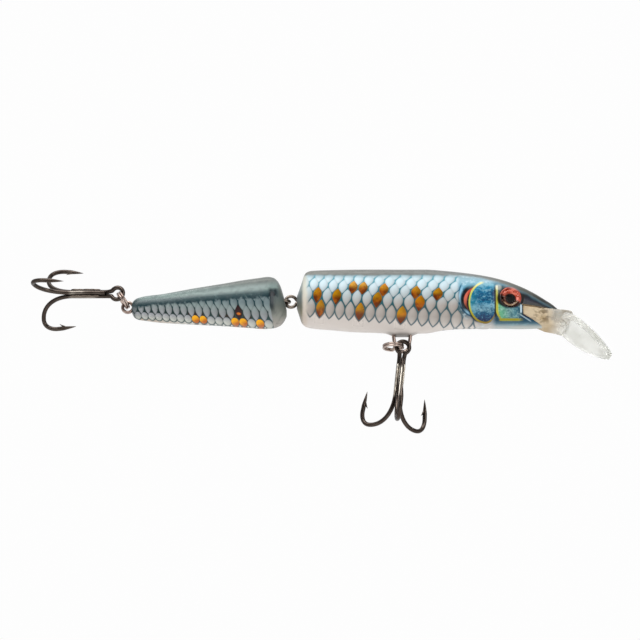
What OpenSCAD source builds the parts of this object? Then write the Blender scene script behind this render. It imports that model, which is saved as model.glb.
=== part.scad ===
// Jointed deep-diving lure, 13 cm nose to tail.
// Origin at the centre of the line-tie eye. +X towards the nose, +Z up,
// the lure's right flank faces -Y. All sizes in millimetres.

/* [Body] */
// Greatest half width of the front section
front_half_w = 7.5; // [7.2:0.1:8]
// Greatest half width of the tail section
tail_half_w = 6.4; // [6.2:0.1:7]
// Squareness of the body's cross-section, where 2 is an ellipse
body_power = 2.3; // [2:0.1:2.8]
// Wall thickness of the shells
wall = 1.4; // [1.2:0.1:1.7]

/* [Wire eyes] */
// Wire diameter of the body's eyes
eye_wire = 1.0; // [0.9:0.05:1.05]
// Centre-line radius of the two joint eyes
joint_eye_r = 1.75; // [1.7:0.05:1.85]
// Centre-line radius of the tail hook eye
tail_eye_r = 1.6; // [1.55:0.05:1.7]
// Length of each eye's shank inside the body
shank_len = 8; // [6:0.5:9]

/* [Split rings] */
// Wire diameter of the split rings
ring_wire = 0.66; // [0.6:0.02:0.66]
// Centre-line radius of the belly split ring
belly_ring_r = 3.0; // [2.9:0.1:3.2]
// Centre-line radius of the tail split ring
tail_ring_r = 2.7; // [2.6:0.05:2.8]

/* [Treble hooks] */
// Wire diameter of the treble hooks
hook_wire = 1.35; // [1:0.05:1.35]
// Distance from the hook eye's centre to the bottom of the bend
hook_len = 24.6; // [23:0.2:26]
// Reach from the shank's axis to the outside of the point
hook_reach = 11.2; // [10:0.1:11.6]
// Lean of the belly treble towards the tail
belly_lean = 6.5; // [0:0.5:8]
// Sideways turn of the tail treble
tail_turn = 15; // [0:1:16]
// Rise of the tail treble's bend
tail_rise = 4.5; // [0:0.5:6]

/* [Diving lip] */
// Slope of the blade below the horizontal
lip_slope = 38; // [34:1:42]
// Thickness of the blade
lip_t = 2.0; // [1.6:0.1:2.4]

/* [Eyes] */
// Radius of the printed eye disc
eye_r = 3.0; // [2.6:0.1:3.2]

/* [Hidden] */

joint_z = 4.9;          // height of the two joint eyes
joint_x = -83.0;        // centre of the front joint eye
tail_joint_x = -85.2;   // centre of the tail joint eye
hinge_x = joint_x - joint_eye_r;
tail_eye = [-133.2, 0, 3.1];
belly_pin = [-48.6, -0.65, -9.7];   // where the split ring's wire carries the treble
hanger_c = [-48.9, 0, -8.9];
hanger_r = 2.25;
treble_eye_r = 1.9;
eye_c = [-15.8, 0, 4.4];
ring_dir = 123.5;       // direction of the tail split ring in the XZ plane
tail_pin = tail_eye + 2 * tail_ring_r * [cos(ring_dir), 0, sin(ring_dir)];
M = 10;                 // strips round half a section

// heights of the back and belly and the half width, along the front section
front_top = [[-81.2, 6.4], [-80.4, 8.6], [-79.6, 11.0], [-79.0, 13.0], [-78.2, 14.0], [-76.5, 14.5],
    [-71, 14.7], [-60, 14.9], [-42, 14.9], [-34, 14.3], [-28, 13.6], [-22, 12.6], [-17, 11.3],
    [-14, 10.2], [-11, 8.9], [-8, 7.3], [-5, 5.4], [-2.5, 3.7], [-1, 2.4]];
front_bot = [[-81.2, 2.8], [-80.4, 0.4], [-79.8, -1.4], [-79.0, -2.4], [-78.2, -2.9], [-76.5, -3.3],
    [-71, -3.8], [-63, -4.5], [-54, -4.9], [-52.2, -5.6], [-51, -6.1], [-46.6, -6.1], [-45.4, -5.6], [-43.6, -4.9], [-36, -3.9], [-31, -3.5], [-19, -3.4],
    [-12, -3.6], [-6, -3.4], [-1, -1.4]];
front_wid = [[-81.2, 0.27], [-80.4, 0.52], [-79.8, 0.7], [-79.0, 0.82], [-78.2, 0.89], [-76.5, 0.95],
    [-70, 1], [-45, 1], [-34, 0.97], [-25, 0.92], [-18, 0.83], [-14, 0.75], [-10, 0.65], [-6, 0.54],
    [-3, 0.43], [-1, 0.3]];
front_x = [-81.2, -80.8, -80.4, -79.8, -79.4, -79.0, -78.2, -76.5, -74, -71, -66, -60, -54, -52.2, -51, -46.6, -45.4, -43.6,
    -38, -34, -31, -28, -25, -22, -19.5, -17, -14, -11, -8, -6, -4, -2.5, -1];
front_cavity = [-70, -66, -60, -54, -44, -38, -34, -31, -28, -25, -22, -20];

// the same for the tail section
tail_top = [[-131.9, 4.3], [-131.3, 5.2], [-130, 6.0], [-127.5, 6.6], [-122.6, 7.2], [-117.7, 8.1],
    [-112.8, 9.0], [-107.9, 9.8], [-103, 10.6], [-98, 11.5], [-93, 12.2], [-90, 12.6], [-88.6, 12.4],
    [-87.2, 11.4], [-86.2, 9.6], [-85.5, 7.4], [-84.9, 5.2], [-84.3, 2.6]];
tail_bot = [[-131.9, 1.3], [-131.3, 0.1], [-130, -0.7], [-127.5, -1.1], [-122.6, -1.7], [-112.8, -2.2],
    [-103, -2.7], [-95.6, -3.2], [-90.7, -3.5], [-88.2, -3.3], [-86.3, -2.6], [-85.2, -1.5], [-84.3, 0.2]];
tail_wid = [[-131.9, 0.26], [-131.3, 0.36], [-130, 0.43], [-127, 0.48], [-118, 0.62], [-108, 0.78],
    [-98, 0.92], [-92, 1], [-89.6, 0.98], [-88.2, 0.91], [-87, 0.8], [-86, 0.66], [-85.2, 0.48],
    [-84.3, 0.18]];
tail_x = [-131.9, -131.6, -131.2, -130.6, -130, -127.5, -122.6, -117.7, -112.8, -107.9, -103, -98, -95,
    -92, -90, -89, -88, -87.2, -86.4, -85.8, -85.2, -84.7, -84.3];
tail_cavity = [-121, -117.7, -112.8, -107.9, -103, -98, -95];

// ---------- lofted half shells ----------

// a closed cross-section at x, starting from the back's ridge
function section(x, top, bot, wid, half, inset) =
    let (t = lookup(x, top) - inset, b = lookup(x, bot) + inset,
         w = half * lookup(x, wid) - inset, c = (t + b) / 2, h = (t - b) / 2, e = 2 / body_power)
    [for (j = [0:2 * M - 1]) let (a = 90 - 180 * j / M)
        [x, -w * sign(cos(a)) * pow(abs(cos(a)), e), c + h * sign(sin(a)) * pow(abs(sin(a)), e)]];

// a closed loft through the sections at xs
module loft(xs, top, bot, wid, half, inset) {
    n = 2 * M;
    last = len(xs) - 1;
    polyhedron([for (x = xs) each section(x, top, bot, wid, half, inset)],
        concat([for (i = [0:last - 1], j = [0:n - 1]) let (k = (j + 1) % n)
                [i * n + j, (i + 1) * n + j, (i + 1) * n + k, i * n + k]],
            [[for (j = [0:n - 1]) j]], [[for (j = [0:n - 1]) last * n + n - 1 - j]]), convexity = 10);
}

// the right-hand half of a hollow loft, cut a hair short of the middle; children() are cut from it
module half_shell(xs, hollow, top, bot, wid, half) {
    intersection() {
        difference() {
            loft(xs, top, bot, wid, half, 0);
            loft(hollow, top, bot, wid, half, wall);
            children();
        }
        translate([-150, -20.01, -40]) cube([200, 20, 80]);
    }
}

// side outline of the clear wedge that fills the mouth
wedge = [[-12.2, 2.6], [-1.5, 1.5], [2.6, 0.4], [3.6, -0.6], [0.6, -4.8], [-4.9, -3.8], [-11.8, -0.45]];

module front_half() {
    half_shell(front_x, front_cavity, front_top, front_bot, front_wid, front_half_w) {
        // mouth, which the lip's wedge fills
        translate([0, 10, 0]) rotate([90, 0, 0]) linear_extrude(20)
            polygon([[-12.22, 2.62], [-1.5, 1.53], [4, 1.0], [4, -8], [-4.92, -8], [-4.92, -3.82], [-11.82, -0.48]]);
        // rear slot and hole for the joint eye
        translate([joint_x, 0, joint_z]) rotate([90, 0, 0])
            cylinder(r = joint_eye_r + eye_wire / 2 + 0.05, h = eye_wire + 0.1, center = true, $fn = 32);
        translate([joint_x, 0, joint_z]) rotate([0, 90, 0]) cylinder(r = eye_wire / 2 + 0.03, h = shank_len + 3, $fn = 24);
        // two holes in the belly for the hanger's legs
        for (s = [-1, 1]) translate([hanger_c[0] + s * hanger_r, 0, -8])
            cylinder(r = 0.58, h = 5.5, $fn = 24);
        // socket for the eye
        translate([eye_c[0], -4.6, eye_c[2]]) rotate([90, 0, 0]) cylinder(r = eye_r + 0.1, h = 4, $fn = 48);
    }
}

module tail_half() {
    half_shell(tail_x, tail_cavity, tail_top, tail_bot, tail_wid, tail_half_w) {
        // room for the front joint eye as the tail swings
        translate([hinge_x, 0, joint_z - 2.8]) cylinder(r = 1.35, h = 5.6, $fn = 32);
        // seat of the tail joint eye
        translate([tail_joint_x, 0, joint_z]) cylinder(r = joint_eye_r + eye_wire / 2 + 0.05, h = eye_wire + 0.1, center = true, $fn = 32);
        translate([tail_joint_x, 0, joint_z]) rotate([0, -90, 0]) cylinder(r = eye_wire / 2 + 0.03, h = shank_len + 3, $fn = 24);
        // seat of the tail hook eye
        translate(tail_eye) rotate([90, 0, 0]) cylinder(r = tail_eye_r + eye_wire / 2 + 0.05, h = eye_wire + 0.1, center = true, $fn = 32);
        translate(tail_eye) rotate([0, 90, 0]) cylinder(r = eye_wire / 2 + 0.03, h = shank_len + 3, $fn = 24);
    }
}

module front_shell_right() { color("lightsteelblue") front_half(); }
module front_shell_left() { color("lightsteelblue") mirror([0, 1, 0]) front_half(); }
module tail_shell_right() { color("slategray") tail_half(); }
module tail_shell_left() { color("slategray") mirror([0, 1, 0]) tail_half(); }

// ---------- diving lip ----------

// half widths along the blade, from the nose to the rounded tip
blade = [[-0.6, 7.4], [1, 9.4], [3, 10.7], [5, 11.0], [8, 10.4], [11, 8.9], [14, 6.6], [16, 4.5], [17.4, 2.5], [18.2, 0.9]];

module diving_lip() {
    color([0.85, 0.87, 0.84, 0.5]) difference() {
        union() {
            intersection() {
                translate([0, 12, 0]) rotate([90, 0, 0]) linear_extrude(24) polygon(wedge);
                translate([0, 0, -8]) linear_extrude(14)
                    polygon([[-12.2, 5.1], [-6, 4.2], [-2, 4.5], [1, 5.6], [4, 6.6],
                             [4, -6.6], [1, -5.6], [-2, -4.5], [-6, -4.2], [-12.2, -5.1]]);
            }
            translate([0.6, 0, -1.6]) rotate([0, lip_slope, 0]) linear_extrude(lip_t, center = true)
                polygon(concat([for (p = blade) p], [for (i = [len(blade) - 1:-1:0]) [blade[i][0], -blade[i][1]]]));
        }
        // slot that holds the line tie, and the hole of its shank
        translate([-2.2, -0.9, -2.2]) cube([9, 1.8, 9]);
        rotate([0, -90, 0]) cylinder(r = eye_wire / 2 + 0.03, h = shank_len + 2.5, $fn = 24);
    }
}

// ---------- wire eyes ----------

// a ring in the XZ plane at the origin, with a straight shank along +X
module wire_eye(r) {
    rotate([90, 0, 0]) rotate_extrude($fn = 48) translate([r, 0]) circle(r = eye_wire / 2, $fn = 24);
    translate([r, 0, 0]) rotate([0, 90, 0]) cylinder(r = eye_wire / 2, h = shank_len, $fn = 24);
}

module line_tie_eye() { color("dimgray") rotate([0, 180, 0]) wire_eye(1.5); }
module front_joint_eye() { color("dimgray") translate([joint_x, 0, joint_z]) wire_eye(joint_eye_r); }
module tail_joint_eye() {
    color("dimgray") translate([tail_joint_x, 0, joint_z]) rotate([90, 0, 0]) rotate([0, 180, 0]) wire_eye(joint_eye_r);
}
module tail_hook_eye() { color("dimgray") translate(tail_eye) wire_eye(tail_eye_r); }

// bent wire staple: two legs in the belly and a round loop below it
module belly_hanger() {
    color("rosybrown") translate(hanger_c) {
        rotate([90, 0, 0]) rotate([0, 0, 180]) rotate_extrude(angle = 180, $fn = 48) translate([hanger_r, 0]) circle(r = 0.55, $fn = 24);
        for (s = [-1, 1]) translate([s * hanger_r, 0, 0]) cylinder(r = 0.55, h = 6.2, $fn = 24);
    }
}

// ---------- swept wires ----------

function unit(v) = v / norm(v);
function tangents(p) = [for (i = [0:len(p) - 1]) unit(p[min(i + 1, len(p) - 1)] - p[max(i - 1, 0)])];
function carry(t, r, i = 0) = i >= len(t) ? [] :
    let (n = unit(r - (r * t[i]) * t[i])) concat([n], carry(t, n, i + 1));

// a round wire along the points p, with its radius at each point in rad
module wire(p, rad, sides = 8) {
    t = tangents(p);
    n = carry(t, abs(t[0][1]) < 0.9 ? [0, 1, 0] : [1, 0, 0]);
    last = len(p) - 1;
    pts = [for (i = [0:last], k = [0:sides - 1]) let (a = 360 * k / sides)
        p[i] + rad[i] * (cos(a) * n[i] + sin(a) * cross(t[i], n[i]))];
    polyhedron(pts, concat(
        [for (i = [0:last - 1], k = [0:sides - 1]) let (m = (k + 1) % sides)
            [(i + 1) * sides + k, (i + 1) * sides + m, i * sides + m, i * sides + k]],
        [[for (k = [0:sides - 1]) k]], [[for (k = [0:sides - 1]) last * sides + sides - 1 - k]]), convexity = 10);
}

// a split ring: two turns of wire about the Z axis, its ends at +Y
module split_ring(r) {
    steps = 52;
    p = [for (i = [0:steps]) let (a = 90 + 720 * i / steps, z = (ring_wire + 0.02) * (2 * i / steps - 1))
        [r * cos(a), r * sin(a), z]];
    wire(p, [for (q = p) ring_wire / 2]);
}

function bezier(a, b, c, d, n) = [for (i = [0:n]) let (t = i / n, s = 1 - t)
    s * s * s * a + 3 * s * s * t * b + 3 * s * t * t * c + t * t * t * d];

// one hook in its own plane, as [distance from the axis, height], from below the eye to the point
hr = hook_wire * 0.6;
hook_out = concat(
    [[hr, -6], [hr, -10], [hr, -14]],
    bezier([hr, -15], [hr + 0.1, -20.5], [3.6, -hook_len], [hook_reach - 3.2, -hook_len], 11),
    [for (q = bezier([hook_reach - 3.2, -hook_len], [hook_reach - 0.9, -hook_len], [hook_reach, -hook_len + 1.9],
        [hook_reach - 0.1, -hook_len + 4.2], 8)) if (q[1] > -hook_len + 0.001) q],
    [[hook_reach - 0.35, -hook_len + 6.6], [hook_reach - 0.7, -hook_len + 9], [hook_reach - 0.95, -hook_len + 10.6]]);
function hook_rad(n) = [for (i = [0:n - 1]) i == n - 1 ? 0.06 : i == n - 2 ? hook_wire * 0.3 : hook_wire / 2];
function turn(p, az) = [for (q = p) [q[0] * cos(az), q[0] * sin(az), q[1]]];
function flip(p) = [for (i = [len(p) - 1:-1:0]) p[i]];

// two hooks bent from one wire, with the eye between them
module treble_double(az) {
    eye = [for (i = [0:13]) let (a = -62 + 304 * i / 13) [treble_eye_r * cos(a), 0, treble_eye_r * sin(a)]];
    p = concat(flip(turn(hook_out, az)), [[hr * cos(az), hr * sin(az), -3.4]], eye,
               [[hr * cos(az + 120), hr * sin(az + 120), -3.4]], turn(hook_out, az + 120));
    h = hook_rad(len(hook_out));
    wire(p, concat(flip(h), [for (i = [0:15]) hook_wire / 2], h));
}

// the third hook, brazed into the groove between the other two
module treble_single(az) {
    p = turn(concat([[hr, -3.9]], hook_out), az - 120);
    wire(p, concat([hook_wire / 2], hook_rad(len(hook_out))));
}

// two fillets of braze beside the third hook's shank
module treble_braze(az) {
    for (s = [-1, 1]) rotate([0, 0, az - 120 + 60 * s]) translate([hook_wire * 0.89, 0, -15]) cylinder(r = 0.27, h = 9.5, $fn = 16);
}

module belly_treble_place() {
    translate([belly_pin[0], -1.35, belly_pin[2]]) rotate([0, belly_lean, 0]) translate([0, 0, -0.45]) children();
}
module tail_treble_place() {
    translate(tail_pin) rotate([0, 0, -tail_turn]) rotate([0, 90 + tail_rise, 0]) translate([0, 0, -0.45]) children();
}

module belly_split_ring() {
    color("rosybrown") translate(belly_pin - [belly_ring_r, 0, 0]) split_ring(belly_ring_r);
}
module belly_treble_double() { color("#3a3431") belly_treble_place() treble_double(36); }
module belly_treble_single() { color("#3a3431") belly_treble_place() treble_single(36); }
module belly_treble_braze() { color("silver") belly_treble_place() treble_braze(36); }

module tail_split_ring() {
    color("rosybrown") translate((tail_eye + tail_pin) / 2) rotate([0, -ring_dir, 0]) split_ring(tail_ring_r);
}
module tail_treble_double() { color("#3a3431") tail_treble_place() treble_double(25); }
module tail_treble_single() { color("#3a3431") tail_treble_place() treble_single(25); }
module tail_treble_braze() { color("silver") tail_treble_place() treble_braze(25); }

// ---------- eyes ----------

module disc() { translate([eye_c[0], -4.65, eye_c[2]]) rotate([90, 0, 0]) cylinder(r = eye_r, h = 0.8, $fn = 48); }
module dome() {
    rise = 0.75;
    R = (eye_r * eye_r + rise * rise) / (2 * rise);
    translate([eye_c[0], -5.45, eye_c[2]]) rotate([90, 0, 0]) intersection() {
        translate([0, 0, rise - R]) sphere(r = R, $fn = 96);
        cylinder(r = eye_r, h = 4, $fn = 48);
    }
}
module eye_disc_right() { color("orangered") disc(); }
module eye_disc_left() { color("orangered") mirror([0, 1, 0]) disc(); }
module eye_dome_right() { color([1, 1, 1, 0.4]) dome(); }
module eye_dome_left() { color([1, 1, 1, 0.4]) mirror([0, 1, 0]) dome(); }

// ---------- pieces sealed inside ----------

// cast weight that rests low in the front section
module belly_ballast() {
    color("gray") difference() {
        translate([-66, 0, 0.2]) rotate([0, 90, 0]) cylinder(r = 2.8, h = 11, $fn = 48);
        translate([-67, -5, 1.4]) cube([13, 10, 5]);
    }
}
// loose steel balls that roll in the front section
module rattle_balls() {
    color("silver") for (i = [0:2]) translate([-41.5 + 4.5 * i, 0, 0.3]) sphere(r = 2, $fn = 48);
}
// weight in the tail section
module tail_ballast() {
    color("gray") translate([-113, 0, 1.6]) rotate([0, 90, 0]) cylinder(r = 1.8, h = 9, $fn = 48);
}

front_shell_right();
front_shell_left();
tail_shell_right();
tail_shell_left();
diving_lip();
line_tie_eye();
eye_disc_right();
eye_disc_left();
eye_dome_right();
eye_dome_left();
front_joint_eye();
tail_joint_eye();
belly_hanger();
tail_hook_eye();
belly_split_ring();
belly_treble_double();
belly_treble_single();
belly_treble_braze();
tail_split_ring();
tail_treble_double();
tail_treble_single();
tail_treble_braze();
belly_ballast();
rattle_balls();
tail_ballast();
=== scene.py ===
import math
import bpy
import bmesh
import numpy as np
from mathutils import Vector, Matrix


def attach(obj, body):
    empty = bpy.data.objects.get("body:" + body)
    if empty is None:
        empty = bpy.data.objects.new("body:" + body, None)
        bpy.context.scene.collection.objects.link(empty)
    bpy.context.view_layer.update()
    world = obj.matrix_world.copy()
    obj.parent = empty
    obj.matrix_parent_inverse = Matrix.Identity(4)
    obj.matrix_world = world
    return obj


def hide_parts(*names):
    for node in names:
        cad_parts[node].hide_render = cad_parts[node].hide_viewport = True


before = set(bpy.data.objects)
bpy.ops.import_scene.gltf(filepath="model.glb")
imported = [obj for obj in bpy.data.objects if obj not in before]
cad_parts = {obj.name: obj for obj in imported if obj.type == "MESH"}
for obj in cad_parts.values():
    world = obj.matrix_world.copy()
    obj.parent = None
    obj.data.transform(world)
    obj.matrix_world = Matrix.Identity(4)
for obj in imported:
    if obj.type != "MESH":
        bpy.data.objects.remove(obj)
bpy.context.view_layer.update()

MM = 0.001
PXS = 0.3073          # millimetres between the paint grid's lines
ELEV = math.radians(17.0)
CE, SE = math.cos(ELEV), math.sin(ELEV)
rng = np.random.default_rng(7)


# ------------------------------------------------------------------ node maths
def lin(h):
    h = h.lstrip("#")
    c = [int(h[i:i + 2], 16) / 255 for i in (0, 2, 4)]
    return tuple(x / 12.92 if x <= 0.04045 else ((x + 0.055) / 1.055) ** 2.4 for x in c) + (1.0,)


class Mat:
    def __init__(self, name):
        self.mat = bpy.data.materials.new(name)
        self.mat.use_nodes = True
        self.nt = self.mat.node_tree
        self.nt.nodes.clear()
        self.out = self.nt.nodes.new("ShaderNodeOutputMaterial")
        self.bsdf = self.nt.nodes.new("ShaderNodeBsdfPrincipled")
        self.nt.links.new(self.bsdf.outputs[0], self.out.inputs[0])
        self.tc = self.nt.nodes.new("ShaderNodeTexCoord")

    def node(self, kind, **props):
        n = self.nt.nodes.new(kind)
        for k, v in props.items():
            setattr(n, k, v)
        return n

    def link(self, a, b):
        if isinstance(a, N):
            a = a.s
        if isinstance(a, (int, float, tuple)):
            b.default_value = a
        else:
            self.nt.links.new(a, b)

    def math(self, op, *args, clamp=False):
        n = self.node("ShaderNodeMath", operation=op, use_clamp=clamp)
        for i, a in enumerate(args):
            self.link(a, n.inputs[i])
        return N(self, n.outputs[0])

    def pos(self):
        s = self.node("ShaderNodeSeparateXYZ")
        self.link(self.tc.outputs["Object"], s.inputs[0])
        return [N(self, s.outputs[i]) * 1000 for i in range(3)]

    def smooth(self, v, lo, hi):
        n = self.node("ShaderNodeMapRange", interpolation_type="SMOOTHSTEP")
        self.link(v, n.inputs[0])
        self.link(lo, n.inputs[1]); self.link(hi, n.inputs[2])
        n.inputs[3].default_value = 0.0; n.inputs[4].default_value = 1.0
        return N(self, n.outputs[0])

    def band(self, v, lo, hi, soft):
        return self.smooth(v, lo - soft, lo + soft) * (1 - self.smooth(v, hi - soft, hi + soft))

    def mix(self, f, a, b):
        n = self.node("ShaderNodeMix", data_type="RGBA")
        self.link(f, n.inputs["Factor"])
        self.link(a, n.inputs[6]); self.link(b, n.inputs[7])
        return N(self, n.outputs[2])

    def ramp(self, v, stops):
        lo, hi = stops[0][0], stops[-1][0]
        n = self.node("ShaderNodeValToRGB")
        r = n.color_ramp
        for i, (p, c) in enumerate(stops):
            t = (p - lo) / (hi - lo)
            e = r.elements[i] if i < 2 else r.elements.new(t)
            if i == 1:
                e.position = t
            e.position = t
            e.color = lin(c) if isinstance(c, str) else c
        self.link((v - lo) / (hi - lo), n.inputs[0])
        return N(self, n.outputs[0])

    def scale_color(self, col, f):
        n = self.node("ShaderNodeVectorMath", operation="SCALE")
        self.link(col, n.inputs[0]); self.link(f, n.inputs["Scale"])
        return N(self, n.outputs[0])

    def noise(self, scale, detail=3.0, rough=0.5, vec=None, color=False):
        n = self.node("ShaderNodeTexNoise")
        n.inputs["Scale"].default_value = scale
        n.inputs["Detail"].default_value = detail
        n.inputs["Roughness"].default_value = rough
        self.link(vec if vec is not None else self.tc.outputs["Object"], n.inputs["Vector"])
        return N(self, n.outputs[1 if color else 0])

    def stretched(self, sx, sy, sz):
        n = self.node("ShaderNodeMapping")
        n.inputs["Scale"].default_value = (sx, sy, sz)
        self.link(self.tc.outputs["Object"], n.inputs[0])
        return N(self, n.outputs[0])

    def bump(self, h, strength, dist):
        n = self.node("ShaderNodeBump")
        n.inputs["Strength"].default_value = strength
        n.inputs["Distance"].default_value = dist
        self.link(h, n.inputs["Height"])
        self.nt.links.new(n.outputs[0], self.bsdf.inputs["Normal"])

    def set(self, **kw):
        names = {"color": "Base Color", "rough": "Roughness", "metal": "Metallic", "coat": "Coat Weight",
                 "coat_rough": "Coat Roughness", "trans": "Transmission Weight", "ior": "IOR",
                 "spec": "Specular IOR Level", "sss": "Subsurface Weight", "alpha": "Alpha"}
        for k, v in kw.items():
            self.link(v, self.bsdf.inputs[names[k]])
        return self.mat


class N:
    """a socket with arithmetic"""
    def __init__(self, m, s):
        self.m, self.s = m, s

    def __add__(self, o): return self.m.math("ADD", self, o)
    __radd__ = __add__
    def __sub__(self, o): return self.m.math("SUBTRACT", self, o)
    def __rsub__(self, o): return self.m.math("SUBTRACT", o, self)
    def __mul__(self, o): return self.m.math("MULTIPLY", self, o)
    __rmul__ = __mul__
    def __truediv__(self, o): return self.m.math("DIVIDE", self, o)
    def abs(self): return self.m.math("ABSOLUTE", self)
    def sqrt(self): return self.m.math("SQRT", self)
    def floor(self): return self.m.math("FLOOR", self)
    def round(self): return self.m.math("ROUND", self)
    def max(self, o): return self.m.math("MAXIMUM", self, o)
    def min(self, o): return self.m.math("MINIMUM", self, o)
    def less(self, o): return self.m.math("LESS_THAN", self, o)
    def more(self, o): return self.m.math("GREATER_THAN", self, o)
    def eq(self, o, eps=0.25): return self.m.math("COMPARE", self, o, eps)
    def clamp(self): return self.m.math("ADD", self, 0.0, clamp=True)


def paint_grid(m):
    """the printed pattern's own grid, mirrored on the two flanks"""
    x, y, z = m.pos()
    gx = x / PXS + 561.0
    gy = 316.5 - (z * CE + y.abs() * SE) / PXS
    return gx, gy, x, y, z


def lens_field(m, c, v, shift, shear, half_w, half_h, rounded=None, last=9):
    """staggered lens-shaped scales: nearest scale's distance (1 at its edge), its id, and the place inside it"""
    found = []
    r0 = v.floor()
    for k in (0, 1):
        r = r0 + float(k)
        dv = v - r
        cc = c - shift(r) + shear * dv
        col = cc.round()
        du = cc - col
        hh = half_h(r) if callable(half_h) else half_h
        d = du.abs() / half_w + (dv / hh) * (dv / hh)
        if rounded is not None:
            oval = (du / 0.49) * (du / 0.49) + ((dv - 0.02) / 0.43) * ((dv - 0.02) / 0.43)
            d = d + (oval - d) * r.eq(float(rounded))
        d = d + r.more(last + 0.5) * 20.0
        found.append((d, r * 100 + col, du, dv))
    first = found[0][0].less(found[1][0])
    pick = lambda i: found[1][i] + (found[0][i] - found[1][i]) * first
    return pick(0), pick(1), pick(2), pick(3)


def listed(m, ident, ids):
    total = None
    for i in ids:
        e = ident.eq(float(i))
        total = e if total is None else total + e
    return total


def painted_finish(m, color, gold=None):
    fine = m.noise(900, 2.0)
    # the gloss adds a little white everywhere, so the ink under it is a little deeper
    dark = m.node("ShaderNodeVectorMath", operation="MULTIPLY_ADD")
    m.link(color, dark.inputs[0])
    dark.inputs[1].default_value = (1.03, 1.03, 1.03)
    dark.inputs[2].default_value = (-0.026, -0.026, -0.026)
    low = m.node("ShaderNodeVectorMath", operation="MAXIMUM")
    m.link(dark.outputs[0], low.inputs[0])
    low.inputs[1].default_value = (0.0015, 0.0015, 0.0015)
    m.set(color=low.outputs[0], coat=0.07, coat_rough=0.14, ior=1.42, spec=0.35)
    rough = m.noise(260, 3.0) * 0.10 + 0.27
    if gold is not None:
        rough = rough - gold * 0.05
        m.set(metal=gold * 0.25)
    m.set(rough=rough)
    m.bump(fine * 0.4 + m.noise(35, 2.0) * 0.6, 0.05, 0.0004)
    return m.mat


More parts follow.
